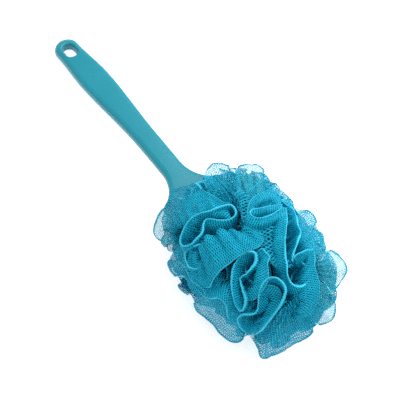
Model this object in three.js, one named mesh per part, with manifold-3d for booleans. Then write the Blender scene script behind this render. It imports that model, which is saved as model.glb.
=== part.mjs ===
// Long-handled bath scrubber: a one-piece moulded handle whose hidden paddle carries a pouf of gathered net.
// Millimetres, +Z up. The scrubber lies on its back on a table at z = 0: the pouf's flattened underside and
// the tip of the arched handle touch it. The handle runs along X, with its tip at -X and the pouf at +X.
import * as THREE from 'three';
import { mergeVertices } from 'three/addons/utils/BufferGeometryUtils.js';
import Module from 'manifold-3d';

const wasm = await Module();
wasm.setup();

// Whole object
const overallLength = 407;
const poufLength = 200;
const poufWidth = 138;
const poufHeight = 114;
const poufCentreHeight = 50;
const poufFullness = 2.3;
const headTilt = THREE.MathUtils.degToRad(4.85);

// Handle, measured along its own axis from the pouf's centre (the tip is on the negative side)
const poufCentreX = overallLength / 2 - poufLength / 2;
const handleReach = 309.4;
const handleThickness = 11.2;
const edgeRound = 3.6;
const edgeSteps = 3;
const tipRadius = 11.3;
const gripHalfWidth = 13.85;
const gripStation = -250;
const neckHalfWidth = 10.4;
const neckStation = -160;
const shoulderStart = -122;
const shoulderRadius = 40;
const bowDrop = 19;
const bowStart = -100;
const tipPadLength = 38;
const tipSteps = 8;
const bodySteps = 34;

// Hang hole near the tip
const hangHoleLength = 16.4;
const hangHoleWidth = 10.8;
const hangHoleFromTip = 16.5;
const holeCornerSteps = 5;

// Paddle inside the pouf
const paddleHalfWidth = 27;
const paddleEnd = 84;
const paddleEndRadius = 20;
const paddleEndSteps = 7;

// Tie stations along the paddle
const stationCount = 5;
const stationPitch = 34;
const slotOffset = 14;
const slotLength = 9;
const slotWidth = 5;

// Tie cords and their knots
const cordRadius = 1.1;
const cordSides = 6;
const cordSteps = 24;
const waistHeight = 9;
const waistSquareness = 0.55;
const knotRadius = 2;
const knotCordRadius = 0.85;
const knotReach = 1.5 * knotRadius + knotCordRadius;
const knotSteps = 27;
const knotSides = 5;
const knotHalfAngle = 0.24;

// Gaps between neighbours
const pieceGap = 0.4;
const bundleGap = 0.6;
const tunnelHalfAngle = 0.02;

// How finely the oval and the knots' pockets are faceted
const ovalSides = 26;
const ovalRings = 16;
const pocketSides = 8;
const pocketRings = 6;

// Reaches past everything, for the blocks that cut the oval up
const beyond = 2 * poufLength;

const materials = {
  handle: { color: 0x3aa0b6, roughness: 0.38, metalness: 0 },
  netFront: { color: 0x1e9cc4, roughness: 0.6, metalness: 0 },
  netBack: { color: 0x178fb8, roughness: 0.6, metalness: 0 },
  cord: { color: 0x157a9c, roughness: 0.7, metalness: 0 },
};

function toSolid(geometry) {
  const bare = geometry.index ? geometry.toNonIndexed() : geometry.clone();
  bare.deleteAttribute('normal');
  bare.deleteAttribute('uv');
  const merged = mergeVertices(bare, 1e-4);
  return new wasm.Manifold(new wasm.Mesh({
    numProp: 3,
    vertProperties: new Float32Array(merged.attributes.position.array),
    triVerts: new Uint32Array(merged.index.array),
  }));
}

function toGeometry(solid) {
  const mesh = solid.getMesh();
  const geometry = new THREE.BufferGeometry();
  const points = new Float32Array(mesh.numVert * 3);
  for (let i = 0; i < mesh.numVert; i += 1) {
    for (let k = 0; k < 3; k += 1) {
      points[i * 3 + k] = mesh.vertProperties[i * mesh.numProp + k];
    }
  }
  geometry.setAttribute('position', new THREE.BufferAttribute(points, 3));
  geometry.setIndex(new THREE.BufferAttribute(new Uint32Array(mesh.triVerts), 1));
  geometry.computeVertexNormals();
  return geometry;
}

// The handle's centreline leaves the head's plane behind the neck and drops in a smooth arc to the tip pad,
// which is straight, so that its two faces are flat.
function bow(x) {
  const padStart = -handleReach + tipPadLength;
  const span = bowStart - padStart;
  const slope = 2 * bowDrop / (span + 2 * tipPadLength);
  const curve = slope / (2 * span);
  if (x > bowStart) {
    return 0;
  }
  if (x > padStart) {
    return -curve * (bowStart - x) ** 2;
  }
  return -curve * span ** 2 - slope * (padStart - x);
}

function smoothStep(t) {
  const c = THREE.MathUtils.clamp(t, 0, 1);
  return c * c * (3 - 2 * c);
}

// Half width of the handle at a station along its axis, between the round tip and the paddle's round end.
function handleHalfWidth(x) {
  const tipCentre = -handleReach + tipRadius;
  const intoGrip = smoothStep((x - tipCentre) / (gripStation - tipCentre));
  const intoNeck = smoothStep((x - gripStation) / (neckStation - gripStation));
  const grip = THREE.MathUtils.lerp(tipRadius, gripHalfWidth, intoGrip);
  const body = THREE.MathUtils.lerp(grip, neckHalfWidth, intoNeck);
  const rise = THREE.MathUtils.clamp(x - shoulderStart, 0, shoulderRadius);
  const shoulder = shoulderRadius - Math.sqrt(shoulderRadius ** 2 - rise ** 2);
  return Math.min(body + shoulder, paddleHalfWidth);
}

// Stations along the whole moulding, from its round tip to the paddle's round end, each with the half width
// and half height of its section. Both ends close in a point.
function handleStations(grow) {
  const stations = [];
  const halfHeight = handleThickness / 2 + grow;
  const addRoundEnd = (centre, radius, straight, steps, facing) => {
    const end = [];
    for (let i = 0; i <= steps; i += 1) {
      const angle = (Math.PI / 2) * (i / steps);
      const along = (radius + grow) * Math.cos(angle);
      const inset = Math.min(radius + grow - along, edgeRound);
      const edge = Math.sqrt(edgeRound ** 2 - (edgeRound - inset) ** 2);
      end.push({
        x: centre + facing * along,
        halfWidth: i === 0 ? 0 : straight + (radius + grow) * Math.sin(angle),
        halfHeight: i === 0 ? 0 : halfHeight - edgeRound + edge,
      });
    }
    stations.push(...(facing < 0 ? end : end.reverse()));
  };
  const tipCentre = -handleReach + tipRadius;
  addRoundEnd(tipCentre, tipRadius, 0, tipSteps, -1);
  const bodyEnd = shoulderStart + shoulderRadius;
  for (let i = 1; i <= bodySteps; i += 1) {
    const x = THREE.MathUtils.lerp(tipCentre, bodyEnd, i / bodySteps);
    stations.push({ x, halfWidth: handleHalfWidth(x) + grow, halfHeight });
  }
  const paddleStraight = paddleHalfWidth - paddleEndRadius;
  addRoundEnd(paddleEnd - paddleEndRadius, paddleEndRadius, paddleStraight, paddleEndSteps, 1);
  return stations;
}

// Point j of the rounded rectangle that is the handle's section.
function sectionPoint(station, j) {
  const round = Math.min(edgeRound, station.halfWidth, station.halfHeight);
  const corner = Math.floor(j / (edgeSteps + 1)) % 4;
  const step = j % (edgeSteps + 1);
  const angle = Math.PI - (Math.PI / 2) * (corner + step / edgeSteps);
  const ySign = corner === 1 || corner === 2 ? 1 : -1;
  const zSign = corner < 2 ? 1 : -1;
  return [
    ySign * (station.halfWidth - round) + round * Math.cos(angle),
    zSign * (station.halfHeight - round) + round * Math.sin(angle),
  ];
}

// The handle before its holes are cut, thicker and wider all round by grow: a sphere's net of rings, drawn
// out along the handle's stations.
function handlePlate(grow) {
  const stations = handleStations(grow);
  const around = 4 * (edgeSteps + 1);
  const plate = new THREE.SphereGeometry(1, around, stations.length - 1);
  const points = plate.attributes.position;
  stations.forEach((station, i) => {
    for (let j = 0; j <= around; j += 1) {
      const [y, z] = sectionPoint(station, j % around);
      points.setXYZ(i * (around + 1) + j, station.x, y, z);
    }
  });
  return toSolid(plate);
}

function bend(solid) {
  return solid.warp((point) => {
    point[2] += bow(point[0]);
  });
}

function obround(length, width, depth) {
  const straight = length / 2 - width / 2;
  const shape = new THREE.Shape();
  shape.absarc(straight, 0, width / 2, -Math.PI / 2, Math.PI / 2, false);
  shape.absarc(-straight, 0, width / 2, Math.PI / 2, Math.PI * 1.5, false);
  const settings = { depth, bevelEnabled: false, curveSegments: holeCornerSteps };
  const cutter = new THREE.ExtrudeGeometry(shape, settings);
  cutter.translate(0, 0, -depth / 2);
  return cutter;
}

function stationX(index) {
  return (index - (stationCount - 1) / 2) * stationPitch;
}

function handleSolid() {
  const cutDepth = 3 * handleThickness;
  const hangHole = obround(hangHoleLength, hangHoleWidth, cutDepth);
  hangHole.translate(-handleReach + hangHoleFromTip, 0, 0);
  let solid = handlePlate(0).subtract(toSolid(hangHole));
  for (let i = 0; i < stationCount; i += 1) {
    for (const side of [-1, 1]) {
      const slot = obround(slotLength, slotWidth, cutDepth);
      slot.translate(stationX(i), side * slotOffset, 0);
      solid = solid.subtract(toSolid(slot));
    }
  }
  return bend(solid);
}

// One turn of cord round the two waists and through a pair of slots: a squarish ring in the plane across
// the handle, open at the top by halfAngle on each side, where the knot sits.
class WaistTurn extends THREE.Curve {
  constructor(x, halfAngle) {
    super();
    this.x = x;
    this.startAngle = halfAngle;
  }

  getPoint(t, target = new THREE.Vector3()) {
    const angle = THREE.MathUtils.lerp(this.startAngle, 2 * Math.PI - this.startAngle, t);
    const across = Math.sin(angle);
    const up = Math.cos(angle);
    const halfHeight = handleThickness / 2 + waistHeight;
    return target.set(
      this.x,
      slotOffset * Math.sign(across) * Math.abs(across) ** waistSquareness,
      halfHeight * Math.sign(up) * Math.abs(up) ** waistSquareness,
    );
  }
}

function cordTube(index, radius, halfAngle) {
  const section = new THREE.Shape();
  for (let i = 0; i < cordSides; i += 1) {
    const angle = (2 * Math.PI * i) / cordSides;
    const x = radius * Math.cos(angle);
    const y = radius * Math.sin(angle);
    if (i === 0) {
      section.moveTo(x, y);
    } else {
      section.lineTo(x, y);
    }
  }
  const tube = new THREE.ExtrudeGeometry(section, {
    steps: cordSteps,
    extrudePath: new WaistTurn(stationX(index), halfAngle),
  });
  return toSolid(tube);
}

function knotGeometry(index) {
  const knot = new THREE.TorusKnotGeometry(knotRadius, knotCordRadius, knotSteps, knotSides, 2, 3);
  knot.translate(stationX(index), 0, handleThickness / 2 + waistHeight);
  return knot;
}

// The oval of net that the stations share out, in the head's own frame, before anything is cut from it.
// It is a little fuller at its shoulders than a true ellipsoid.
function poufSolid() {
  const oval = new THREE.SphereGeometry(1, ovalSides, ovalRings);
  oval.rotateX(Math.PI / 2);
  const points = oval.attributes.position;
  for (let i = 0; i < points.count; i += 1) {
    const powers = [points.getX(i), points.getY(i), points.getZ(i)].map((c) => Math.abs(c) ** poufFullness);
    const reach = (powers[0] + powers[1] + powers[2]) ** (-1 / poufFullness);
    points.setXYZ(i, points.getX(i) * reach, points.getY(i) * reach, points.getZ(i) * reach);
  }
  oval.scale(poufLength / 2, poufWidth / 2, poufHeight / 2);
  return toSolid(oval);
}

function boxBetween(minimum, maximum) {
  const size = new THREE.Vector3().subVectors(maximum, minimum);
  const box = new THREE.BoxGeometry(size.x, size.y, size.z);
  const centre = new THREE.Vector3().addVectors(minimum, maximum).multiplyScalar(0.5);
  box.translate(centre.x, centre.y, centre.z);
  return box;
}

// Everything below the table's surface, turned into the head's frame.
function belowTable() {
  const low = new THREE.Vector3(-beyond, -beyond, -beyond);
  const high = new THREE.Vector3(beyond, beyond, -poufCentreHeight);
  const block = boxBetween(low, high);
  block.rotateY(headTilt);
  return toSolid(block);
}

// The slice of the oval that one bundle fills: its station's length of one side of the head.
function bundleSlot(index, side) {
  const first = index === 0;
  const last = index === stationCount - 1;
  const xLow = first ? -beyond : stationX(index) - stationPitch / 2 + bundleGap / 2;
  const xHigh = last ? beyond : stationX(index) + stationPitch / 2 - bundleGap / 2;
  const zLow = side > 0 ? bundleGap / 2 : -beyond;
  const zHigh = side > 0 ? beyond : -bundleGap / 2;
  const low = new THREE.Vector3(xLow, -beyond, zLow);
  const high = new THREE.Vector3(xHigh, beyond, zHigh);
  return toSolid(boxBetween(low, high));
}

function bundleSolid(index, side, oval) {
  const tunnel = cordTube(index, cordRadius + pieceGap, tunnelHalfAngle);
  const pocket = new THREE.SphereGeometry(knotReach + pieceGap, pocketSides, pocketRings);
  pocket.translate(stationX(index), 0, handleThickness / 2 + waistHeight);
  let solid = oval.intersect(bundleSlot(index, side)).subtract(tunnel);
  if (side > 0) {
    solid = solid.subtract(toSolid(pocket));
  }
  return solid;
}

function makeMesh(name, geometry, look) {
  const mesh = new THREE.Mesh(geometry, new THREE.MeshStandardMaterial(look));
  mesh.name = name;
  return mesh;
}

const scrubber = new THREE.Group();
const tool = new THREE.Group();
tool.rotation.y = -headTilt;
tool.position.set(poufCentreX, 0, poufCentreHeight);
scrubber.add(tool);

tool.add(makeMesh('handle', toGeometry(handleSolid()), materials.handle));

const netOval = poufSolid().subtract(bend(handlePlate(pieceGap))).subtract(belowTable());
for (let i = 0; i < stationCount; i += 1) {
  const number = i + 1;
  const front = toGeometry(bundleSolid(i, 1, netOval));
  const back = toGeometry(bundleSolid(i, -1, netOval));
  tool.add(makeMesh(`net_front_${number}`, front, materials.netFront));
  tool.add(makeMesh(`net_back_${number}`, back, materials.netBack));
  const cord = toGeometry(cordTube(i, cordRadius, knotHalfAngle));
  tool.add(makeMesh(`tie_cord_${number}`, cord, materials.cord));
  tool.add(makeMesh(`tie_knot_${number}`, knotGeometry(i), materials.cord));
}

export default scrubber;
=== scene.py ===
import math

import bmesh
import bpy
import numpy as np
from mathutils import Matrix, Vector


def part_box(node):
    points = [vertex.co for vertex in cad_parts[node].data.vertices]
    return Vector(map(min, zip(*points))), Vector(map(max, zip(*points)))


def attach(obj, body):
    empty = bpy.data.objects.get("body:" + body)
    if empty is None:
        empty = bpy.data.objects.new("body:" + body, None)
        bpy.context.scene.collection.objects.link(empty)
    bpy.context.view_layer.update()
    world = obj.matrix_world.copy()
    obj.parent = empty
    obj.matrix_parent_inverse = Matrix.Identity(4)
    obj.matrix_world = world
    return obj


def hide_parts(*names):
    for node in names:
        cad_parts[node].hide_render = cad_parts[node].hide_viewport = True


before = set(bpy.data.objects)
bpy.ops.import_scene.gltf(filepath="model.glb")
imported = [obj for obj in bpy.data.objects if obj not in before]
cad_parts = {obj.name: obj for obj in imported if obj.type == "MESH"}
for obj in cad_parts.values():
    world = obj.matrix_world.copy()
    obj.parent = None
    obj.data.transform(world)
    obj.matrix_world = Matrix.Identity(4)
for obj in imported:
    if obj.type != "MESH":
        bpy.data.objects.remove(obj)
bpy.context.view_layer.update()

mm = 0.001
rng = np.random.default_rng(20)


def unit(v):
    v = np.asarray(v, float)
    return v / np.maximum(np.linalg.norm(v, axis=-1, keepdims=True), 1e-12)


def middle(node):
    low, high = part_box(node)
    return (np.array(low) + np.array(high)) / 2 / mm


def smoothStep(t):
    t = np.clip(t, 0, 1)
    return t * t * (3 - 2 * t)


# the head's own frame in millimetres, found from the ties that run through the paddle
stations = [middle(f"tie_cord_{i}") for i in range(1, 6)]
headAlong = unit((stations[4] - stations[0]) * np.array([1, 0, 1]))
headAcross = np.array([0.0, 1.0, 0.0])
headUp = np.cross(headAlong, headAcross)
headAxes = np.stack([headAlong, headAcross, headUp])
netNodes = [f"net_{side}_{i}" for side in ("front", "back") for i in range(1, 6)]
netLow = np.min([np.array(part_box(n)[0]) for n in netNodes], axis=0) / mm
netHigh = np.max([np.array(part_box(n)[1]) for n in netNodes], axis=0) / mm
paddleMiddle = np.array([(netLow[0] + netHigh[0]) / 2, 0, stations[2][2]])
oval = dict(ofBundles=0.97, swell=2.3, fallAway=14)   # the net's skin: a swollen oval a little inside them
ovalHalf = np.array([(netHigh[0] - netLow[0]) / 2 / headAlong[0], netHigh[1],
                     netHigh[2] - paddleMiddle[2]]) * oval["ofBundles"]

face = dict(azimuth=56.4, elevation=60.0)   # the side from which the head's face is laid out
poufOffset = dict(right=4.0, up=3.4)   # how far the soft pouf has slumped off the paddle's middle


# right, up and outward, for someone looking from that side
def lookAxes(azimuth, elevation):
    a, e = math.radians(azimuth), math.radians(elevation)
    right = np.array([math.cos(a), math.sin(a), 0.0])
    up = np.array([-math.sin(a) * math.sin(e), math.cos(a) * math.sin(e), math.cos(e)])
    return right, up, np.cross(right, up)


faceRight, faceUp, faceOut = lookAxes(**face)
headMiddle = paddleMiddle + poufOffset["right"] * faceRight + poufOffset["up"] * faceUp
print("head middle", headMiddle.round(1), "half sizes", ovalHalf.round(1))


def faceShape():
    basis = headAxes / ovalHalf[:, None]
    quad = basis.T @ basis
    steep = faceOut @ quad @ faceOut
    slope = np.array([faceOut @ quad @ faceRight, faceOut @ quad @ faceUp]) / steep
    flat = np.stack([faceRight, faceUp])
    cross = flat @ quad @ faceOut
    rim = flat @ quad @ flat.T - np.outer(cross, cross) / steep
    return slope, rim, 1 / math.sqrt(steep)


faceSlope, faceRim, faceHeight = faceShape()


# how far out the oval's skin is above each (right, up) point; past its rim it falls away
def skinHeight(ru):
    ru = np.asarray(ru, float)
    rho = np.sqrt(np.einsum("...i,ij,...j->...", ru, faceRim, ru))
    inside = faceHeight * np.maximum(1 - np.minimum(rho, 1) ** oval["swell"], 0) ** (1 / oval["swell"])
    return -(ru @ faceSlope) + inside - oval["fallAway"] * np.maximum(rho - 1, 0)


def facePoint(right, up, out):
    return headMiddle + right * faceRight + up * faceUp + out[:, None] * faceOut


# a Catmull-Rom curve through the points, resampled to even steps along its length
def spline(points, count, closed=False):
    p = np.asarray(points, float)
    n = len(p)
    spans = n if closed else n - 1
    perSpan = 24
    t = np.linspace(0, spans, spans * perSpan + 1)
    k = np.minimum(t.astype(int), spans - 1)
    f = (t - k)[:, None]
    pick = (lambda i: p[i % n]) if closed else (lambda i: p[np.clip(i, 0, n - 1)])
    a, b, c, d = pick(k - 1), pick(k), pick(k + 1), pick(k + 2)
    fine = 0.5 * (2 * b + (c - a) * f + (2 * a - 5 * b + 4 * c - d) * f ** 2
                  + (3 * b - a - 3 * c + d) * f ** 3)
    along = np.concatenate([[0], np.cumsum(np.linalg.norm(np.diff(fine[:, :3], axis=0), axis=1))])
    at = np.linspace(0, along[-1], count)
    return np.stack([np.interp(at, along, fine[:, i]) for i in range(p.shape[1])], 1)


# a smooth seeded wander along a line, about 1 at its largest
def waves(u, scale, count, closed):
    total = np.zeros_like(u)
    for k in range(1, count + 1):
        turns = round(k * u.max() / scale) if closed else k * u.max() / scale
        total += rng.normal() * np.sin(2 * math.pi * (turns * u / max(u.max(), 1e-6) + rng.random())) / k
    return total / 1.6


downCurve = dict(points=14, leave=1.2, midway=0.45, arrive=0.8)   # how strongly each end and the lean pull


# points at the fractions s of the way down a smooth curve from each fold point by its lean to its root
def curveDown(edge, lean, root, s):
    t = np.linspace(0, 1, downCurve["points"])[None, :, None]
    h00, h10 = 2 * t ** 3 - 3 * t ** 2 + 1, t ** 3 - 2 * t ** 2 + t
    h01, h11 = 3 * t ** 2 - 2 * t ** 3, t ** 3 - t ** 2
    e, m, r = edge[:, None], lean[:, None], root[:, None]
    turn = (r - e) * downCurve["midway"]
    top = h00 * e + h10 * (m - e) * downCurve["leave"] + h01 * m + h11 * turn
    low = h00 * m + h10 * turn + h01 * r + h11 * (r - m) * downCurve["arrive"]
    fine = np.concatenate([top, low[:, 1:]], axis=1)
    along = np.cumsum(np.linalg.norm(np.diff(fine, axis=1), axis=-1), axis=1)
    along = np.concatenate([np.zeros((len(edge), 1)), along], axis=1)
    out = np.empty((len(edge), len(s), 3))
    for i, (line, far) in enumerate(zip(fine, along)):
        for k in range(3):
            out[i, :, k] = np.interp(s * far[-1], far, line[:, k])
    return out


sheetLook = dict(
    step=1.3, rowStep=2.2, fewest=30, most=260,   # mesh spacing along the fold and down the sheet
    foldRows=(0.0, 0.12, 0.45, 1.0, 1.8, 2.8),   # rows over the fold, in rolls
    pleatLong=16, pleatAtFold=0.3, pleatGrows=3.0,
    swayLong=60, swayBy=1.6,
    layerGap=0.9, gapFade=7, puffLong=40, puff=0.35)


# a folded-over sheet of net: edge is the line its fold runs along, root where it is gathered and
# lean where it goes in between, in the row frame and millimetres
def foldedSheet(name, edge, root, lean, roll, closed=False, pleat=1.0):
    look = sheetLook
    length = np.linalg.norm(np.diff(edge, axis=0), axis=1).sum()
    count = int(np.clip(length / look["step"], look["fewest"], look["most"]))
    edge = spline(edge, count, closed)
    lean = spline(lean, count, closed)
    root = spline(root, count, closed)
    u = np.linspace(0, length, count)
    depth = float(np.mean(np.linalg.norm(lean - edge, axis=1) + np.linalg.norm(root - lean, axis=1)))
    near = np.array(look["foldRows"]) * roll
    far = np.linspace(near[-1], depth, max(int(depth / look["rowStep"]), 8) + 1)[1:]
    down = np.concatenate([near, far])
    s = down / depth
    sheet = curveDown(edge, lean, root, s)
    if closed:
        alongU = np.roll(sheet[:-1], -1, 0) - np.roll(sheet[:-1], 1, 0)
        alongU = np.concatenate([alongU, alongU[:1]])
    else:
        alongU = np.gradient(sheet, axis=0)
    alongS = np.gradient(sheet, axis=1)
    normal = unit(np.cross(alongU, alongS))
    # pleats grow towards the gathered root; slower waves move the whole sheet
    fine = np.stack([waves(u, look["pleatLong"], 3, closed) for _ in range(3)])
    slow = waves(u, look["swayLong"], 2, closed)
    grow = smoothStep((s - 0.02) / 0.5)
    weights = np.stack([np.maximum(1 - abs(s * 2 - k), 0) for k in range(3)])
    ripple = (fine.T @ weights) * (look["pleatAtFold"] + look["pleatGrows"] * grow[None]) * pleat
    ripple += slow[:, None] * look["swayBy"] * np.sin(math.pi * np.clip(s * 1.1 + 0.2, 0, 1))[None]
    sheet = sheet + normal * ripple[..., None]
    gap = np.where(down < roll, np.sqrt(np.maximum(roll ** 2 - (roll - down) ** 2, 0)),
                   roll + (look["layerGap"] - roll) * smoothStep((down - roll) / (look["gapFade"] * roll)))
    puff = 1 + look["puff"] * waves(u, look["puffLong"], 2, closed)
    offset = normal * (gap[None] * puff[:, None])[..., None]
    layers = np.concatenate([(sheet + offset)[:, ::-1], (sheet - offset)[:, 1:]], axis=1)
    v = np.concatenate([-down[::-1], down[1:]])
    across = float(np.linalg.norm(np.diff(layers, axis=1), axis=-1).sum(axis=1).mean())
    longest = float(np.linalg.norm(np.diff(layers, axis=0), axis=-1).sum(axis=0).max())
    rim = sum(float(np.linalg.norm(np.diff(layers[:, k], axis=0), axis=-1).sum()) for k in (0, -1))
    if not closed:
        rim += 2 * across
    return buildGrid(name, layers, u, v, closed), dict(long=longest, wide=across, rim=rim)


flatScale = 0.01   # UV units to a millimetre of flat net


# a mesh from a grid of points in millimetres, with its flat size kept as the UV map
def buildGrid(name, grid, u, v, closed=False):
    rows, cols = grid.shape[:2]
    if closed:
        grid = grid[:-1]
        rows -= 1
    points = grid.reshape(-1, 3) * mm
    i, j = np.meshgrid(np.arange(rows if closed else rows - 1), np.arange(cols - 1), indexing="ij")
    i2 = (i + 1) % rows
    quads = np.stack([i * cols + j, i2 * cols + j, i2 * cols + j + 1, i * cols + j + 1], -1).reshape(-1, 4)
    mesh = bpy.data.meshes.new(name)
    mesh.vertices.add(len(points))
    mesh.vertices.foreach_set("co", points.astype(np.float32).ravel())
    mesh.loops.add(quads.size)
    mesh.loops.foreach_set("vertex_index", quads.astype(np.int32).ravel())
    mesh.polygons.add(len(quads))
    mesh.polygons.foreach_set("loop_start", np.arange(0, quads.size, 4, dtype=np.int32))
    mesh.update(calc_edges=True)
    layer = mesh.uv_layers.new(name="flat")
    uu = np.stack([u[i], u[i + 1], u[i + 1], u[i]], -1)
    vv = np.stack([v[j], v[j], v[j + 1], v[j + 1]], -1)
    layer.data.foreach_set("uv", (np.stack([uu, vv], -1) * flatScale).astype(np.float32).ravel())
    mesh.polygons.foreach_set("use_smooth", np.ones(len(quads), bool))
    mesh.validate()
    obj = bpy.data.objects.new(name, mesh)
    bpy.context.scene.collection.objects.link(obj)
    return obj


floorRest = dict(band=8.0, lowest=0.6)   # net this low is squeezed, and nothing goes lower


# presses what would reach the floor into a thin layer on it
def restOnFloor(obj):
    mesh = obj.data
    co = np.empty(len(mesh.vertices) * 3, np.float32)
    mesh.vertices.foreach_get("co", co)
    co = co.reshape(-1, 3)
    z = co[:, 2] / mm
    band, lowest = floorRest["band"], floorRest["lowest"]
    squeezed = lowest + (band - lowest) * np.exp(np.minimum((z - band) / band, 0))
    co[:, 2] = np.where(z < band, squeezed, z) * mm
    mesh.vertices.foreach_set("co", co.ravel())
    mesh.update()


def meshArea(obj):
    return float(sum(p.area for p in obj.data.polygons))


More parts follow.
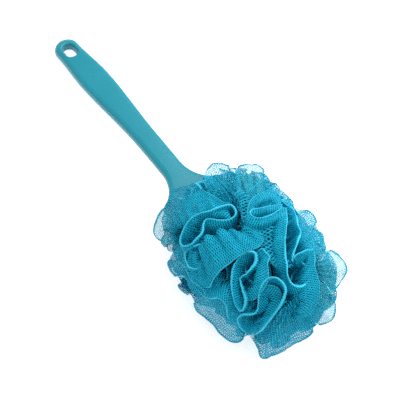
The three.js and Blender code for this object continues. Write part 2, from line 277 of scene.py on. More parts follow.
# net ruffles of the face, in millimetres: right, up, and how proud the fold stands.
# lean is where the sheet goes on its way down: right, up and inward from its fold.
frontRuffles = dict(
    neckFlap=dict(edge=[(-74, 48, -3), (-70, 57, -1), (-64, 61, 0), (-57, 63, 0), (-48, 65, 0),
                        (-44, 60, 0)],
                  lean=[(12, -16, 8)], net="fine"),
    neckDome=dict(edge=[(-75, 37, -9), (-76, 44, -6), (-72, 50, -1), (-66, 52, 3), (-58, 51, 5),
                        (-52, 54, 6),
                        (-44, 59, 6), (-38, 57, 5), (-29, 52, 4), (-21, 47, 2)],
                  lean=[(8, -26, 0), (4, -24, 1), (5, -18, 4)]),
    leftWing=dict(edge=[(-74, 44, -12), (-80, 39, -12), (-84, 31, -12), (-87, 22, -12), (-85, 15, -12),
                        (-78, 10, -11), (-73, 3, -10)],
                  lean=[(18, -4, -8)], net="veil"),
    longLoop=dict(edge=[(-61, 9, 9), (-63, 15, 9), (-60, 24, 8), (-54, 32, 8), (-45, 38, 7), (-35, 41, 7),
                        (-25, 44, 7), (-17, 46, 7), (-12, 42, 6), (-12, 37, 5), (-18, 33, 4), (-28, 32, 3),
                        (-38, 33, 4), (-42, 28, 5), (-43, 21, 7), (-48, 14, 8), (-54, 9, 9)],
                  lean=[(5, -5, 12), (6, -10, 12), (5, -9, 12), (2, -7, 12), (-2, -11, 7), (-2, -10, 7),
                        (2, -8, 9)],
                  closed=True, roll=1.5),
    topFan=dict(edge=[(-39, 61, 1), (-41, 71, 0), (-38, 79, -1), (-33, 84, -1), (-25, 83, -1), (-16, 79, 0),
                      (-10, 78, 1)],
                lean=[(22, -20, 2), (18, -36, 0), (6, -36, 0)], net="fine", pleat=2.6),
    topFanTwo=dict(edge=[(-12, 74, -4), (-7, 81, -5), (5, 82, -5), (12, 79, -5), (14, 74, -5),
                         (14, 67, -4)],
                   lean=[(4, -36, -5), (-10, -32, -5)], net="veil", pleat=2.6),
    shoulder=dict(edge=[(13, 68, -6), (24, 65, -6), (29, 59, -6), (28, 52, -5), (31, 46, -4)],
                  lean=[(-18, -16, -6)], net="fine"),
    smallDome=dict(edge=[(-2, 37, 2), (-1, 44, 4), (3, 52, 5), (12, 57, 5), (19, 59, 4), (26, 55, 2),
                         (30, 50, 0)],
                   lean=[(6, -10, 6), (0, -12, 5), (-6, -10, 6)]),
    smallLoop=dict(edge=[(30, 46, 2), (20, 45, 5), (11, 43, 7), (4, 42, 9), (1, 39, 10), (4, 35, 10),
                         (9, 34, 10),
                         (15, 35, 9), (22, 38, 8), (29, 42, 7), (34, 42, 6)],
                   lean=[(-2, -10, 6), (-6, -10, 4), (-4, -14, 4)], roll=1.5),
    tallFold=dict(edge=[(34, 43, 5), (35, 32, 8), (34, 22, 9), (33, 12, 9), (33, 2, 8), (34, -8, 8),
                        (35, -18, 8),
                        (38, -25, 8), (44, -28, 7), (50, -27, 5), (54, -21, 2), (53, -12, 0), (46, -4, 0)],
                  lean=[(-10, -4, 8), (-12, -6, 6), (-8, -8, 10), (-2, -10, 14), (-6, -6, 12)], roll=1.5),
    tallFoldTwo=dict(edge=[(39, 44, 3), (43, 36, 4), (45, 27, 5), (47, 20, 5), (44, 11, 5), (41, 2, 4),
                           (39, -6, 2)],
                     lean=[(-6, -4, 10)]),
    rightShoulder=dict(edge=[(44, 38, -1), (49, 41, -2), (55, 40, -3), (60, 34, -3), (62, 24, -2),
                             (66, 16, -2),
                             (70, 8, -2)],
                       lean=[(-14, -14, 2)]),
    pocketWall=dict(edge=[(40, -3, 4), (43, 1, 6), (48, 3, 8), (54, 5, 9), (59, 4, 9), (60, -3, 9),
                          (60, -10, 9),
                          (62, -18, 9), (64, -26, 9), (64, -35, 8), (62, -44, 6), (57, -53, 3)],
                    lean=[(4, -12, 10), (-10, -12, 8), (-18, -6, 4), (-16, -6, 4)], roll=1.5),
    rightWing=dict(edge=[(63, 10, -4), (72, 4, -5), (80, 0, -6), (87, -8, -7), (89, -16, -7), (85, -26, -7),
                         (78, -33, -6), (71, -37, -5)],
                   lean=[(-18, -14, -6), (-28, 2, -8), (-22, 14, -7)], net="veil"),
    lowerWing=dict(edge=[(70, -28, -4), (77, -38, -6), (79, -50, -7), (76, -60, -7), (67, -64, -7),
                         (57, -62, -6)],
                   lean=[(-18, 8, -7), (-18, 24, -7)], net="veil"),
    centrePanel=dict(edge=[(11, 20, 3), (13, 13, 6), (8, 7, 8), (-2, 3, 9), (-15, -6, 10), (-25, -14, 10),
                           (-32, -22, 9), (-37, -30, 8), (-43, -28, 6), (-50, -20, 5), (-55, -10, 4),
                           (-56, -3, 3)],
                     lean=[(-16, 8, 4), (-20, 20, 2), (-18, 26, 2), (0, 24, 4), (12, 16, 5)], roll=1.5),
    leftLoop=dict(edge=[(-58, -5, 6), (-58, 3, 7), (-51, 8, 6), (-42, 9, 3), (-37, 4, 0), (-40, -5, 2),
                        (-46, -12, 5), (-53, -12, 6)],
                  lean=[(2, -6, 12)], closed=True),
    leafLoop=dict(edge=[(-9, -21, 7), (-4, -17, 8), (1, -12, 8), (6, -6, 8), (6, 2, 8), (1, 4, 8),
                        (-5, 2, 8),
                        (-11, -4, 8), (-15, -12, 8), (-16, -24, 8), (-15, -37, 8), (-13, -46, 7),
                        (-8, -52, 6),
                        (-4, -47, 6), (-3, -40, 6), (-6, -32, 6)],
                  lean=[(2, -3, 14), (2, -6, 12), (6, -8, 10), (9, -2, 9), (9, 2, 9), (4, 4, 12),
                        (2, -2, 14)],
                  closed=True, roll=1.5),
    lowLeftCurl=dict(edge=[(-66, 2, 0), (-64, -6, 3), (-58, -12, 5), (-55, -20, 6), (-50, -26, 6),
                           (-43, -31, 6),
                           (-38, -38, 5), (-33, -34, 2)],
                     lean=[(8, 6, 8), (10, 10, 8)]),
    innerVeil=dict(edge=[(11, 31, -1), (9, 21, 0), (10, 10, 0), (14, 0, 0), (20, -8, 0), (27, -14, -1)],
                   lean=[(13, 3, 1)], net="coarse"),
    leafSide=dict(edge=[(8, 3, 3), (12, 6, 5), (16, 2, 5), (19, -2, 5), (17, -8, 6), (18, -19, 6),
                        (16, -27, 5),
                        (11, -34, 4), (6, -40, 2), (-2, -42, 0)],
                  lean=[(-6, -8, 6), (-13, -2, 1), (-10, 4, 3)]),
    bottomLoop=dict(edge=[(17, -21, 7), (24, -20, 9), (30, -24, 11), (33, -31, 12), (31, -39, 12),
                          (26, -49, 12),
                          (18, -60, 11), (11, -69, 9), (4, -73, 8), (-3, -71, 7), (-9, -65, 7),
                          (-11, -58, 6),
                          (-6, -54, 4), (2, -54, 3), (7, -50, 3), (8, -42, 4), (9, -33, 5), (12, -26, 6)],
                    lean=[(0, -10, 14), (-2, -4, 14), (-2, 4, 14), (0, 10, 12), (8, 6, 10), (10, 0, 8),
                          (8, -6, 10)],
                    closed=True, roll=1.5),
    bottomFan=dict(edge=[(2, -76, -3), (8, -85, -4), (12, -94, -5), (20, -92, -5), (30, -89, -5),
                         (41, -82, -5),
                         (50, -77, -5), (57, -71, -5), (56, -63, -4)],
                   lean=[(28, 38, -6), (14, 52, -8), (-16, 36, -6)], pleat=1.6),
    cornerFan=dict(edge=[(46, -70, -4), (54, -68, -3), (60, -62, -2), (65, -54, -2), (67, -46, -2)],
                   lean=[(-8, 30, -5), (-16, 22, -4)], net="fine"),
    lowLeftFan=dict(edge=[(-50, -42, -4), (-48, -52, -5), (-40, -58, -5), (-32, -64, -5), (-26, -72, -6),
                          (-18, -79, -6), (-9, -79, -6), (-3, -73, -5)],
                    lean=[(22, 12, -6), (20, 32, -8), (6, 30, -7)]),
    lowLeftWing=dict(edge=[(-68, 4, -5), (-73, -6, -6), (-72, -14, -6), (-66, -20, -6), (-58, -20, -5),
                           (-55, -28, -5), (-50, -36, -5)],
                     lean=[(16, 6, -5), (16, 12, -5)]),
    lowLeftFold=dict(edge=[(-52, -20, 2), (-50, -29, 4), (-44, -36, 6), (-36, -40, 7), (-28, -40, 7),
                           (-22, -46, 6),
                           (-20, -56, 5), (-14, -62, 3)],
                     lean=[(8, 12, 8)]),
    gapVeil=dict(edge=[(-16, 56, -1), (-10, 50, 0), (-8, 42, 0), (-7, 33, 0), (-3, 25, 0), (2, 18, -1)],
                 lean=[(12, -2, 1)], net="coarse"),
    loopFloor=dict(edge=[(11, -30, 0), (20, -27, 1), (28, -31, 1), (29, -39, 0), (24, -49, 0),
                         (17, -58, 0)],
                   lean=[(-9, -8, 3), (-12, -4, 3)]),
    notchFill=dict(edge=[(-69, -12, -7), (-64, -19, -7), (-58, -22, -7), (-52, -30, -7), (-46, -39, -7)],
                   lean=[(20, 10, -8)]),
)


gather = dict(along=0.75, alongMost=72, across=0.35, acrossMost=20, fromPaddle=9, drawn=0.22, flat=0.8)


# where a ruffle is gathered: at the paddle's face, drawn together to about a fifth of its length
def rootLine(edge, side):
    centre = edge.mean(axis=0)
    local = (centre - headMiddle) @ headAxes.T
    station = np.clip(local[0] * gather["along"], -gather["alongMost"], gather["alongMost"])
    across = np.clip(local[1] * gather["across"], -gather["acrossMost"], gather["acrossMost"])
    base = paddleMiddle + station * headAlong + across * headAcross + side * gather["fromPaddle"] * headUp
    spread = (edge - centre) * gather["drawn"]
    spread -= np.outer(spread @ headUp, headUp) * gather["flat"]
    return base + spread


linePoints = 40   # a fold line is first drawn with this many
leanBelow = 3   # how much deeper than its own settings say a ruffle leans


def layRuffle(name, edge, lean, closed=False, roll=1.3, pleat=1.0, net="plain"):
    line = spline(edge, linePoints, closed)
    shift = np.array(lean, float)
    at, knots = np.linspace(0, 1, linePoints), np.linspace(0, 1, len(shift))
    move = np.stack([np.interp(at, knots, shift[:, i]) for i in range(3)], 1)
    fold = facePoint(line[:, :1], line[:, 1:2], skinHeight(line[:, :2]) + line[:, 2])
    lower = line[:, :2] + move[:, :2]
    under = facePoint(lower[:, :1], lower[:, 1:2], skinHeight(lower) + line[:, 2] - move[:, 2] - leanBelow)
    root = rootLine(fold, 1 if (fold.mean(axis=0) - headMiddle) @ headUp >= 0 else -1)
    if closed:
        fold, root, under = fold[:-1], root[:-1], under[:-1]
    return foldedSheet(name, fold, root, under, roll, closed, pleat)


ruffles = []


# rests a ruffle on the floor and files it under the bundle it grows from
def keepRuffle(obj, size, net="plain"):
    restOnFloor(obj)
    co = np.array([v.co for v in obj.data.vertices]) / mm
    local = (co.mean(axis=0) - headMiddle) @ headAxes.T
    places = [(st - headMiddle) @ headAlong for st in stations]
    station = int(np.argmin([abs(local[0] * gather["along"] - p) for p in places])) + 1
    side = "front" if local[2] >= 0 else "back"
    obj.name = f"net_{side}_{station}_{obj.name}"
    ruffles.append(dict(obj=obj, node=f"net_{side}_{station}", net=net, **size))


for name, piece in frontRuffles.items():
    keepRuffle(*layRuffle(name, **piece), net=piece.get("net", "plain"))
print("front ruffles", len(ruffles))


# points in the head's own axes, pushed in or out along their own direction to the oval's skin
def ontoOval(points):
    reach = (np.abs(points / ovalHalf) ** oval["swell"]).sum(axis=-1, keepdims=True) ** (1 / oval["swell"])
    return points / np.maximum(reach, 1e-6)


def ovalNormal(points):
    return unit(np.sign(points) * np.abs(points / ovalHalf) ** (oval["swell"] - 1) / ovalHalf)


# fold lines for the rest of the head, each (first, second) along the skin
ruffleShapes = dict(
    bend=dict(edge=[(-22, -8), (-15, 2), (-5, 7), (4, 1), (10, -6), (18, -4), (24, 7)], closed=False),
    hook=dict(edge=[(-20, 10), (-14, -2), (-4, -8), (7, -6), (12, 3), (6, 10), (-3, 8),
                    (-4, 1)], closed=False),
    bow=dict(edge=[(-23, -8), (-14, 4), (-3, 9), (9, 7), (18, 0), (24, -10)], closed=False),
    loop=dict(edge=[(-20, -4), (-16, 5), (-6, 8), (3, 5), (10, 9), (19, 6), (21, -3), (13, -8), (3, -5),
                    (-8, -10)], closed=True),
    snake=dict(edge=[(-24, 4), (-18, -6), (-9, -7), (-4, 2), (2, 10), (10, 8), (13, -2), (20, -8),
                     (27, -2)],
               closed=False),
)


def scatterRuffle(name, at, shape, turn, scale, lift, leanBy, leanDepth, roll):
    normal = ovalNormal(at[None])[0]
    first = unit(np.cross(normal, [0, 1, 0] if abs(normal[1]) < 0.9 else [0, 0, 1]))
    second = np.cross(normal, first)
    flat = np.array(shape["edge"], float) * scale
    c, sn = math.cos(turn), math.sin(turn)
    flat = flat @ np.array([[c, sn], [-sn, c]])
    flat += rng.normal(size=flat.shape) * scatter["jitter"]
    line = spline(np.concatenate([flat, np.zeros((len(flat), 1))], 1), linePoints, shape["closed"])
    if shape["closed"]:
        line = line[:-1]
    lifts = lift + 2.0 * waves(np.arange(len(line), dtype=float), 18, 2, shape["closed"])
    skin = ontoOval(at + line[:, :1] * first + line[:, 1:2] * second)
    out = ovalNormal(skin)
    fold = skin + out * lifts[:, None]
    way = c * leanBy * first + sn * leanBy * second
    under = fold + way - out * leanDepth
    fold, under = headMiddle + fold @ headAxes, headMiddle + under @ headAxes
    return foldedSheet(name, fold, rootLine(fold, 1 if at[2] >= 0 else -1), under, roll, shape["closed"])


scatter = dict(count=112, golden=2.399963, turnBy=0.3, jitter=0.7, neckClear=0.80, neckHalf=16,
               sinkSide=10, sinkFront=6)
names = list(ruffleShapes)
lookOut = headAxes @ faceOut
for i in range(scatter["count"]):
    along = 1 - 2 * (i + 0.5) / scatter["count"]
    around = i * scatter["golden"] + scatter["turnBy"] * rng.normal()
    ring = math.sqrt(max(1 - along * along, 0))
    at = ontoOval(np.array([along, ring * math.cos(around), ring * math.sin(around)]) * ovalHalf)
    facing = ovalNormal(at[None])[0] @ lookOut
    if along < -scatter["neckClear"] and abs(at[2]) < scatter["neckHalf"]:
        continue   # the handle comes out here
    sunk = (-scatter["sinkSide"] * smoothStep((facing + 0.45) / 0.35)
            - scatter["sinkFront"] * smoothStep((facing - 0.1) / 0.3))   # below the face's own ruffles
    keepRuffle(*scatterRuffle(
        f"ruffle_{i + 1}", at, ruffleShapes[names[int(rng.integers(len(names)))]],
        turn=rng.uniform(0, 2 * math.pi), scale=rng.uniform(0.95, 1.3),
        lift=rng.uniform(-2, 2.5) + sunk,
        leanBy=rng.uniform(4, 13), leanDepth=rng.uniform(8, 16), roll=rng.uniform(0.9, 1.4)))
print("all ruffles", len(ruffles))


# the moulded handle, laid out along the head's own line with its tip at the far end
bar = dict(tip=-309.4, tipRadius=11.3, thick=11.2, edge=3.6, lip=2.2, crown=0.45, seam=0.12,
           grip=13.85, gripAt=-250.0, neck=10.4, neckAt=-160.0, shoulderAt=-122.0, shoulder=40.0,
           paddle=27.0, paddleEnd=84.0, corner=20.0, bowDrop=19.0, bowAt=-100.0, bowPad=38.0,
           holeAt=-292.9, holeLong=16.4, holeWide=10.8)


# how far the handle has sunk below the paddle's plane
def bow(x):
    padStart = bar["tip"] + bar["bowPad"]
    span = bar["bowAt"] - padStart
    slope = 2 * bar["bowDrop"] / (span + 2 * bar["bowPad"])
    d = np.clip(bar["bowAt"] - x, 0, span)
    return -(slope / (2 * span)) * d ** 2 - slope * np.maximum(padStart - x, 0)


def halfWidth(x):
    x = np.asarray(x, float)
    tipMiddle = bar["tip"] + bar["tipRadius"]
    toGrip = smoothStep((x - tipMiddle) / (bar["gripAt"] - tipMiddle))
    w = bar["tipRadius"] + (bar["grip"] - bar["tipRadius"]) * toGrip
    w = w + (bar["neck"] - bar["grip"]) * smoothStep((x - bar["gripAt"]) / (bar["neckAt"] - bar["gripAt"]))
    run = np.clip(x - bar["shoulderAt"], 0, bar["shoulder"])
    flare = bar["shoulder"] - np.sqrt(bar["shoulder"] ** 2 - run ** 2)
    return np.minimum(w + flare, bar["paddle"])


# pairs of points down one half: one on the outline, one on the hole's rim or the middle line
def handleRows():
    tipMiddle, hole, radius = bar["tip"] + bar["tipRadius"], bar["holeAt"], bar["holeWide"] / 2
    half = bar["holeLong"] / 2 - radius
    outer, inner = [], []
    for a in np.linspace(math.pi, math.pi / 2, 15):
        outer.append((tipMiddle + bar["tipRadius"] * math.cos(a), bar["tipRadius"] * math.sin(a)))
        inner.append((hole - half + radius * math.cos(a), radius * math.sin(a)))
    xs = np.linspace(tipMiddle, hole + half + 1.5, 10)[1:]
    for x, t in zip(xs, np.linspace(0, 1, 10)[1:]):
        outer.append((x, float(halfWidth(x))))
        inner.append((hole - half + 2 * half * t, radius))
    start = xs[-1]
    farEnd = hole + half + radius
    for a in np.linspace(math.pi / 2, 0, 12)[1:]:
        t = 1 - a / (math.pi / 2)
        x = start + (farEnd + 0.6 - start) * t
        outer.append((x, float(halfWidth(x))))
        inner.append((hole + half + radius * math.cos(a), radius * math.sin(a)))
    holeRows = len(outer)
    cornerAt = bar["paddleEnd"] - bar["corner"]
    steps = np.concatenate([[0.15, 0.5, 1.0, 1.5, 2.1], np.arange(3.5, cornerAt - farEnd, 2.2)])
    for d in steps:
        inner.append((farEnd + d, 0.0))
        x = farEnd + 0.6 + d * (cornerAt - farEnd - 0.6) / (cornerAt - farEnd)
        outer.append((x, float(halfWidth(x))))
    for a in np.linspace(math.pi / 2, 0, 14):
        outer.append((cornerAt + bar["corner"] * math.cos(a),
                      bar["paddle"] - bar["corner"] + bar["corner"] * math.sin(a)))
        inner.append((cornerAt + 1.0 * math.cos(a), 0.0))
    for y in np.linspace(bar["paddle"] - bar["corner"], 0, 6)[1:]:
        outer.append((bar["paddleEnd"], y))
        inner.append((cornerAt + 1.0, 0.0))
    return np.array(outer), np.array(inner), holeRows


def handleMesh():
    outer, inner, holeRows = handleRows()
    tall, r, lip = bar["thick"] / 2 - bar["crown"], bar["edge"], bar["lip"]
    radius = bar["holeWide"] / 2
    half = bar["holeLong"] / 2 - radius
    vertices, quads = [], []

    def top(x, y, fromEdge, width):
        gapToHole = np.sqrt(np.maximum(abs(x - bar["holeAt"]) - half, 0) ** 2 + y ** 2) - radius
        z = tall - (r - np.sqrt(r ** 2 - (r - np.minimum(fromEdge, r)) ** 2))
        z = z - (lip - np.sqrt(np.maximum(lip ** 2 - (lip - np.clip(gapToHole, 0, lip)) ** 2, 0)))
        return z + bar["crown"] * np.maximum(1 - (y / width) ** 2, 0) * smoothStep(fromEdge / r)

    arc = np.sin(np.linspace(0, math.pi / 2, 7))
    fillet = 1 - np.cos(np.linspace(0, math.pi / 2, 7))
    for k, (o, i) in enumerate(zip(outer, inner)):
        length = np.linalg.norm(i - o)
        way = (i - o) / length
        edgeQ = fillet * r
        lipQ = length - lip + arc[1:] * lip
        faceQ = np.linspace(edgeQ[-1], lipQ[0], 10)[1:-1]
        q = np.concatenate([edgeQ, faceQ, lipQ])
        xy = o + q[:, None] * way
        z = top(xy[:, 0], xy[:, 1], q, max(float(halfWidth(xy[0, 0])), 5.0))
        z[:7] = tall - r + arc * r
        side = np.array([[*(o - way * bar["seam"]), 0.0], [*o, 0.35], [*o, (tall - r) * 0.6]])
        row = np.concatenate([side, np.column_stack([xy, z])])
        if k < holeRows:
            wallTop = row[-1, 2]
            row = np.concatenate([row, [[*i, wallTop * 0.5], [*i, 0.0]]])
        else:
            row = np.concatenate([row, row[-1:], row[-1:]])
        columns = row.shape[0]
        vertices.append(row)
    grid = np.array(vertices)
    rows = len(grid)
    made = []
    for my in (1, -1):
        for mz in (1, -1):
            part = grid * [1, my, mz]
            base = len(made) * rows * columns
            for k in range(rows - 1):
                last = columns - 1 if k < holeRows - 1 else columns - 3
                for c in range(last):
                    a = base + k * columns + c
                    face4 = [a, a + columns, a + columns + 1, a + 1]
                    quads.append(face4 if my * mz > 0 else face4[::-1])
            made.append(part.reshape(-1, 3))
    points = np.concatenate(made)
    points[:, 2] += bow(points[:, 0])
    points = stations[2] + points @ headAxes
    mesh = bpy.data.meshes.new("handle_moulding")
    mesh.from_pydata([tuple(p) for p in points * mm], [], quads)
    work = bmesh.new()
    work.from_mesh(mesh)
    bmesh.ops.remove_doubles(work, verts=work.verts, dist=0.00002)
    bmesh.ops.dissolve_degenerate(work, edges=work.edges, dist=0.00001)
    bmesh.ops.recalc_face_normals(work, faces=work.faces)
    for f in work.faces:
        f.smooth = True
    work.to_mesh(mesh)
    work.free()
    obj = bpy.data.objects.new("handle_moulding", mesh)
    bpy.context.scene.collection.objects.link(obj)
    return obj


handle = handleMesh()
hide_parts("handle")
print("handle", len(handle.data.polygons), "faces; tie three at", stations[2].round(2))


# the ties: a twisted cord round the waist of each pair of bundles, and its knot
def pathTangent(path, closed):
    return unit(np.roll(path, -1, 0) - np.roll(path, 1, 0) if closed else np.gradient(path, axis=0))


# round strands swept along closed or open paths, all in one mesh. Points in millimetres
def tube(name, paths, radius, sides=8):
    vertices, quads = [], []
    for path, closed in paths:
        path = np.asarray(path, float)
        n = len(path)
        tangent = pathTangent(path, closed)
        hint = np.array([0.31, 0.17, 0.93])
        first = unit(np.cross(tangent, hint))
        second = np.cross(tangent, first)
        turn = np.linspace(0, 2 * math.pi, sides, endpoint=False)
        fat = np.full(n, radius)
        if not closed:
            fat[0] = fat[-1] = radius * 0.35   # open ends are drawn in
        ring = path[:, None] + fat[:, None, None] * (np.cos(turn)[None, :, None] * first[:, None]
                                                    + np.sin(turn)[None, :, None] * second[:, None])
        base = sum(len(v) for v in vertices)
        vertices.append(ring.reshape(-1, 3))
        for k in range(n if closed else n - 1):
            for c in range(sides):
                a, b = base + k * sides, base + ((k + 1) % n) * sides
                quads.append([a + c, a + (c + 1) % sides, b + (c + 1) % sides, b + c])
        if not closed:
            quads.append([base + c for c in range(sides)][::-1])
            quads.append([base + (n - 1) * sides + c for c in range(sides)])
    mesh = bpy.data.meshes.new(name)
    mesh.from_pydata([tuple(p) for p in np.concatenate(vertices) * mm], [], quads)
    mesh.polygons.foreach_set("use_smooth", np.ones(len(mesh.polygons), bool))
    obj = bpy.data.objects.new(name, mesh)
    bpy.context.scene.collection.objects.link(obj)
    return obj


# the strands of a twisted cord along a path, one turn every lay millimetres
def plied(path, closed, plies, spread, lay):
    path = np.asarray(path, float)
    tangent = pathTangent(path, closed)
    along = np.concatenate([[0], np.cumsum(np.linalg.norm(np.diff(path, axis=0), axis=1))])
    total = along[-1] + (np.linalg.norm(path[0] - path[-1]) if closed else 0)
    turns = max(round(total / lay), 1)
    first = unit(np.cross(tangent, headAlong + 0.01))
    second = np.cross(tangent, first)
    strands = []
    for k in range(plies):
        a = 2 * math.pi * (turns * along / total + k / plies)
        strands.append((path + spread * (np.cos(a)[:, None] * first + np.sin(a)[:, None] * second), closed))
    return strands


ties = []
tieLook = dict(radius=0.58, spread=0.5, lay=5.0, square=0.62, inset=1.1, points=130)
knotLook = dict(radius=0.7, inset=0.8, points=90, rise=0.5,
                tails=(dict(steps=10, aside=0.25), dict(steps=8, aside=-0.3)))


# the sine or cosine of a loop's angle, squared off towards its corners
def squared(wave):
    return np.sign(wave) * np.abs(wave) ** tieLook["square"]


for i in range(1, 6):
    low, high = (np.array(v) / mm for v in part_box(f"tie_cord_{i}"))
    half = (high - low) / 2 - tieLook["inset"]
    a = np.linspace(0, 2 * math.pi, tieLook["points"], endpoint=False)
    loop = (stations[i - 1] + np.outer(squared(np.cos(a)) * half[1], headAcross)
            + np.outer(squared(np.sin(a)) * half[2], headUp))
    strands = plied(loop, True, 2, tieLook["spread"], tieLook["lay"])
    cordPiece = tube(f"tie_cord_{i}_twisted", strands, tieLook["radius"])
    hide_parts(f"tie_cord_{i}")
    low, high = (np.array(v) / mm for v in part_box(f"tie_knot_{i}"))
    t = np.linspace(0, 2 * math.pi, knotLook["points"], endpoint=False)
    wrap = np.column_stack([(2 + np.cos(3 * t)) * np.cos(2 * t), (2 + np.cos(3 * t)) * np.sin(2 * t),
                            np.sin(3 * t)]) / 3
    knotPath = (low + high) / 2 + wrap * ((high - low).max() / 2 - knotLook["inset"]) @ headAxes
    paths = [(knotPath, True)]
    for tail in knotLook["tails"]:
        steps = np.arange(tail["steps"])[:, None]
        paths.append((knotPath[0] + steps * (knotLook["rise"] * headUp + tail["aside"] * headAlong), False))
    knotPiece = tube(f"tie_knot_{i}_tied", paths, knotLook["radius"])
    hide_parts(f"tie_knot_{i}")
    for p in (cordPiece, knotPiece):
        ties.append(p)
print("ties", len(ties))


def makeGroup(name, inputs, outputs):
    group = bpy.data.node_groups.new(name, "ShaderNodeTree")
    for title, kind, value in inputs:
        s = group.interface.new_socket(name=title, in_out="INPUT", socket_type=kind)
        if value is not None:
            s.default_value = value
    for title, kind in outputs:
        group.interface.new_socket(name=title, in_out="OUTPUT", socket_type=kind)
    return group, group.nodes.new("NodeGroupInput"), group.nodes.new("NodeGroupOutput")


def mathNode(tree, op, a, b=None, c=None, clamp=False):
    node = tree.nodes.new("ShaderNodeMath")
    node.operation = op
    node.use_clamp = clamp
    for k, v in enumerate((a, b, c)):
        if v is None:
            continue
        if isinstance(v, (int, float)):
            node.inputs[k].default_value = v
        else:
            tree.links.new(v, node.inputs[k])
    return node.outputs[0]


# knitted net, worked out on a sheet's own flat size. Cover is 1 on a strand and 0 in a hole,
# Ridge how high on the strand, which also sets where shade is painted on the strand's sides, Rim 1 along
# the fold, where a highlight is painted
def netWeaveGroup():
    group, gin, gout = makeGroup("netWeave", [
        ("Flat", "NodeSocketVector", None), ("Pitch", "NodeSocketFloat", 2.6),
        ("Strand", "NodeSocketFloat", 0.3), ("Wander", "NodeSocketFloat", 0.45),
        ("Slant", "NodeSocketFloat", 0.62), ("Hem", "NodeSocketFloat", 0.7)],
        [("Cover", "NodeSocketFloat"), ("Ridge", "NodeSocketFloat"), ("Rim", "NodeSocketFloat")])

    def noise(scale, detail):
        node = group.nodes.new("ShaderNodeTexNoise")
        node.inputs["Scale"].default_value = scale
        node.inputs["Detail"].default_value = detail
        group.links.new(gin.outputs["Flat"], node.inputs["Vector"])
        return node

    calc = lambda *args, **more: mathNode(group, *args, **more)
    drifting = dict(scale=6.0, detail=1.0, by=8.0)   # slow bends in the knit's lines
    bunches = dict(scale=9.0, detail=2.0, thin=0.4, thick=1.2)   # where strands run thin or thick
    shear = 0.27   # the net is cut on a bias, so its two layers never line up
    softEdge = 0.14   # how gradually a strand ends, in half pitches
    hemCover = 1.1   # closes the knit along the fold
    split = group.nodes.new("ShaderNodeSeparateXYZ")
    group.links.new(gin.outputs["Flat"], split.inputs[0])
    drift = group.nodes.new("ShaderNodeSeparateColor")
    group.links.new(noise(drifting["scale"], drifting["detail"]).outputs["Color"], drift.inputs[0])
    stray = calc("MULTIPLY", gin.outputs["Wander"], drifting["by"])
    across = []
    for k in range(2):
        flat = calc("MULTIPLY", split.outputs[k], 1 / flatScale)
        moved = calc("MULTIPLY_ADD", calc("SUBTRACT", drift.outputs[k], 0.5), stray, flat)
        across.append(calc("DIVIDE", moved, gin.outputs["Pitch"]))
    across[0] = calc("MULTIPLY_ADD", across[1], shear, across[0])
    lines = []
    for sign in (1.0, -1.0):
        lean = calc("MULTIPLY", gin.outputs["Slant"], sign)
        wave = calc("PINGPONG", calc("MULTIPLY_ADD", across[1], lean, across[0]), 0.5)
        lines.append(calc("MULTIPLY", wave, 2.0))
    nearest = calc("MINIMUM", lines[0], lines[1])
    bunching = noise(bunches["scale"], bunches["detail"]).outputs["Fac"]
    half = calc("MULTIPLY", gin.outputs["Strand"],
                calc("MULTIPLY_ADD", bunching, bunches["thick"], bunches["thin"]))
    cover = calc("ADD", calc("DIVIDE", calc("SUBTRACT", half, nearest), softEdge), 0.5, clamp=True)
    ridge = calc("SUBTRACT", 1.0, calc("DIVIDE", nearest, half), clamp=True)
    fromFold = calc("MULTIPLY", calc("ABSOLUTE", split.outputs[1]), 1 / flatScale)
    rim = calc("SUBTRACT", 1.0, calc("DIVIDE", fromFold, gin.outputs["Hem"]), clamp=True)
    closed = calc("MAXIMUM", cover, calc("MULTIPLY", rim, hemCover), clamp=True)
    group.links.new(closed, gout.inputs["Cover"])
    group.links.new(ridge, gout.inputs["Ridge"])
    group.links.new(rim, gout.inputs["Rim"])
    return group


netWeave = netWeaveGroup()
# the strands' bump depth, and the paler, lifted colour painted as a highlight along the fold
netSurface = dict(wander=0.45, slant=0.62, hem=0.7, bump=0.5, deep=0.0004, rough=0.6, specular=0.1,
                  highlightGain=1.02, lift=0.035)


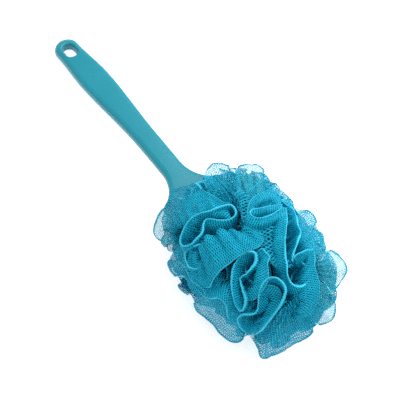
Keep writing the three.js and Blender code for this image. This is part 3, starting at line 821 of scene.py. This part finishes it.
# colour is the net's own cyan; deep is a darker cyan painted as shade on each strand's sides; along the
# fold a paler colour is painted as a highlight
def netMaterial(name, colour, deep, pitch, strand):
    mat = bpy.data.materials.new(name)
    mat.use_nodes = True
    tree = mat.node_tree
    bsdf = tree.nodes["Principled BSDF"]
    uv = tree.nodes.new("ShaderNodeUVMap")
    uv.uv_map = "flat"
    weave = tree.nodes.new("ShaderNodeGroup")
    weave.node_tree = netWeave
    for title, value in (("Pitch", pitch), ("Strand", strand), ("Wander", netSurface["wander"]),
                         ("Slant", netSurface["slant"]), ("Hem", netSurface["hem"])):
        weave.inputs[title].default_value = value
    tree.links.new(uv.outputs[0], weave.inputs["Flat"])

    def blend(factor, a, b):
        mix = tree.nodes.new("ShaderNodeMix")
        mix.data_type = "RGBA"
        tree.links.new(factor, mix.inputs["Factor"])
        for socket, value in ((mix.inputs["A"], a), (mix.inputs["B"], b)):
            if isinstance(value, tuple):
                socket.default_value = (*value, 1)
            else:
                tree.links.new(value, socket)
        return mix.outputs["Result"]

    # painted shade: away from its ridge each strand darkens to the deep colour, as a round strand's sides
    # fall into shade
    strands = blend(weave.outputs["Ridge"], deep, colour)
    # painted highlight: along the fold the colour is blended to a paler, lifted cyan, where the folded edge
    # catches the light; the knit is also closed up there
    paintedFoldHighlight = tuple(min(1.0, netSurface["highlightGain"] * c + netSurface["lift"]) for c in colour)
    tree.links.new(blend(weave.outputs["Rim"], strands, paintedFoldHighlight), bsdf.inputs["Base Color"])
    tree.links.new(weave.outputs["Cover"], bsdf.inputs["Alpha"])
    bump = tree.nodes.new("ShaderNodeBump")
    bump.inputs["Strength"].default_value = netSurface["bump"]
    bump.inputs["Distance"].default_value = netSurface["deep"]
    tree.links.new(weave.outputs["Ridge"], bump.inputs["Height"])
    tree.links.new(bump.outputs[0], bsdf.inputs["Normal"])
    bsdf.inputs["Roughness"].default_value = netSurface["rough"]
    bsdf.inputs["Specular IOR Level"].default_value = netSurface["specular"]
    return mat


# each look gives the net's own colour, then the darker colour painted as shade on its strands' sides
netLooks = dict(
    plain=netMaterial("net_cyan", (0.006, 0.455, 0.65), (0.002, 0.22, 0.37), pitch=2.3, strand=0.36),
    fine=netMaterial("net_cyan_open", (0.008, 0.47, 0.675), (0.002, 0.24, 0.39), pitch=2.2, strand=0.23),
    veil=netMaterial("net_cyan_veil", (0.03, 0.47, 0.63), (0.015, 0.32, 0.45), pitch=1.8, strand=0.22),
    coarse=netMaterial("net_cyan_coarse", (0.006, 0.42, 0.60), (0.002, 0.20, 0.33), pitch=3.6, strand=0.26),
)
for r in ruffles:
    r["obj"].data.materials.append(netLooks[r["net"]])
print("net materials", len(netLooks))

shot = dict(distance=12000.0, wide=365.2, aside=-44.7, above=49.8, sensor=36.0, clipEnd=40)
camData = bpy.data.cameras.new("camera")
camData.sensor_width = shot["sensor"]
cam = bpy.data.objects.new("camera", camData)
bpy.context.scene.collection.objects.link(cam)
aim = headMiddle + shot["aside"] * faceRight + shot["above"] * faceUp
cam.location = Vector((aim + faceOut * shot["distance"]) * mm)
cam.rotation_mode = "QUATERNION"
cam.rotation_quaternion = Vector(-faceOut).to_track_quat("-Z", "Y")
camData.lens = camData.sensor_width * shot["distance"] / shot["wide"]
camData.clip_end = shot["clipEnd"]
bpy.context.scene.camera = cam

studio = dict(floorSize=6.0, floorTone=0.8, floorRough=0.9, floorGlow=0.62, sky=0.64)
bpy.ops.mesh.primitive_plane_add(size=studio["floorSize"])
floor = bpy.context.object
floor.name = "floor"
floorMat = bpy.data.materials.new("floor_white")
floorMat.use_nodes = True
paint = floorMat.node_tree.nodes["Principled BSDF"].inputs
paint["Base Color"].default_value = (*[studio["floorTone"]] * 3, 1)
paint["Roughness"].default_value = studio["floorRough"]
paint["Emission Color"].default_value = (1, 1, 1, 1)
paint["Emission Strength"].default_value = studio["floorGlow"]
floor.data.materials.append(floorMat)

world = bpy.data.worlds.new("studio")
world.use_nodes = True
world.node_tree.nodes["Background"].inputs[0].default_value = (1, 1, 1, 1)
world.node_tree.nodes["Background"].inputs[1].default_value = studio["sky"]
bpy.context.scene.world = world

lights = dict(   # places in millimetres to the right, up and out from the base point
    key=dict(right=350, up=1300, out=760, size=0.8, power=18),
    fill=dict(right=250, up=250, out=1350, size=1.2, power=6),
    edge=dict(right=1300, up=1000, out=-60, size=0.7, power=12),
)
lightBase = np.array([0, 0, 40.0])
lightAim = Vector((0.05, 0, 0.04))


def areaLight(name, right, up, out, size, power):
    data = bpy.data.lights.new(name, "AREA")
    data.size = size
    data.energy = power
    lamp = bpy.data.objects.new(name, data)
    bpy.context.scene.collection.objects.link(lamp)
    lamp.location = Vector((lightBase + right * faceRight + up * faceUp + out * faceOut) * mm)
    lamp.rotation_mode = "QUATERNION"
    lamp.rotation_quaternion = (lightAim - lamp.location).to_track_quat("-Z", "Y")


for name, place in lights.items():
    areaLight(name, **place)
print("camera, floor and", len(lights), "lights")


# a moulded or twisted surface's own unevenness: Grain is its fine height, Patches its slow change of tone
def surfaceGrainGroup():
    group, gin, gout = makeGroup("surfaceGrain", [
        ("Where", "NodeSocketVector", None), ("Fine", "NodeSocketFloat", 1500.0),
        ("Slow", "NodeSocketFloat", 35.0)], [("Grain", "NodeSocketFloat"), ("Patches", "NodeSocketFloat")])
    for source, target, detail in (("Fine", "Grain", 1.0), ("Slow", "Patches", 3.0)):
        noise = group.nodes.new("ShaderNodeTexNoise")
        noise.inputs["Detail"].default_value = detail
        group.links.new(gin.outputs["Where"], noise.inputs["Vector"])
        group.links.new(gin.outputs[source], noise.inputs["Scale"])
        group.links.new(noise.outputs["Fac"], gout.inputs[target])
    return group


surfaceGrain = surfaceGrainGroup()
grainDepth = 0.0001
solidLooks = dict(
    handle_satin=dict(low=(0.007, 0.202, 0.264), high=(0.008, 0.230, 0.301), rough=(0.30, 0.38),
                      specular=0.33, fine=1400.0, slow=38.0, bump=0.05),
    tie_cord_white=dict(low=(0.46, 0.54, 0.54), high=(0.64, 0.70, 0.70), rough=(0.65, 0.80),
                        specular=0.3, fine=5200.0, slow=400.0, bump=0.5),
)


def solidMaterial(name, low, high, rough, specular, fine, slow, bump):
    mat = bpy.data.materials.new(name)
    mat.use_nodes = True
    tree = mat.node_tree
    bsdf = tree.nodes["Principled BSDF"]
    where = tree.nodes.new("ShaderNodeTexCoord")
    grain = tree.nodes.new("ShaderNodeGroup")
    grain.node_tree = surfaceGrain
    grain.inputs["Fine"].default_value = fine
    grain.inputs["Slow"].default_value = slow
    tree.links.new(where.outputs["Object"], grain.inputs["Where"])
    tone = tree.nodes.new("ShaderNodeMix")
    tone.data_type = "RGBA"
    tone.inputs["A"].default_value = (*low, 1)
    tone.inputs["B"].default_value = (*high, 1)
    tree.links.new(grain.outputs["Patches"], tone.inputs["Factor"])
    tree.links.new(tone.outputs["Result"], bsdf.inputs["Base Color"])
    satin = tree.nodes.new("ShaderNodeMapRange")
    satin.inputs["To Min"].default_value, satin.inputs["To Max"].default_value = rough
    tree.links.new(grain.outputs["Patches"], satin.inputs["Value"])
    tree.links.new(satin.outputs["Result"], bsdf.inputs["Roughness"])
    height = tree.nodes.new("ShaderNodeBump")
    height.inputs["Strength"].default_value = bump
    height.inputs["Distance"].default_value = grainDepth
    tree.links.new(grain.outputs["Grain"], height.inputs["Height"])
    tree.links.new(height.outputs["Normal"], bsdf.inputs["Normal"])
    bsdf.inputs["Specular IOR Level"].default_value = specular
    return mat


handle.data.materials.append(solidMaterial("handle_satin", **solidLooks["handle_satin"]))
cordMat = solidMaterial("tie_cord_white", **solidLooks["tie_cord_white"])
for p in ties:
    p.data.materials.append(cordMat)
print("solid materials", len(solidLooks))

scene = bpy.context.scene
scene.view_settings.view_transform = "Standard"
scene.cycles.use_denoising = False   # denoising would smooth the knit away
scene.cycles.transparent_max_bounces = 48
scene.cycles.max_bounces = 10
scene.cycles.diffuse_bounces = 5

# hand the pieces to the frame. For a short-rimmed ring of net the width and area are halved, as for a tube
# lying flat, and the length is made longer than it measures where its rim would otherwise be too long for
# that outline
flatNet = dict(ringRim=0.25, rimShare=0.45)
for n in netNodes:
    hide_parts(n)
for p in [handle, *ties]:
    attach(p, "root")
for r in ruffles:
    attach(r["obj"], "root")
    width, long, area = r["wide"] * mm, r["long"] * mm, meshArea(r["obj"])
    if r["rim"] * mm < flatNet["ringRim"] * 2 * (width + long):
        width, area = width / 2, area / 2
        long = max(long, r["rim"] * mm / flatNet["rimShare"] - width)
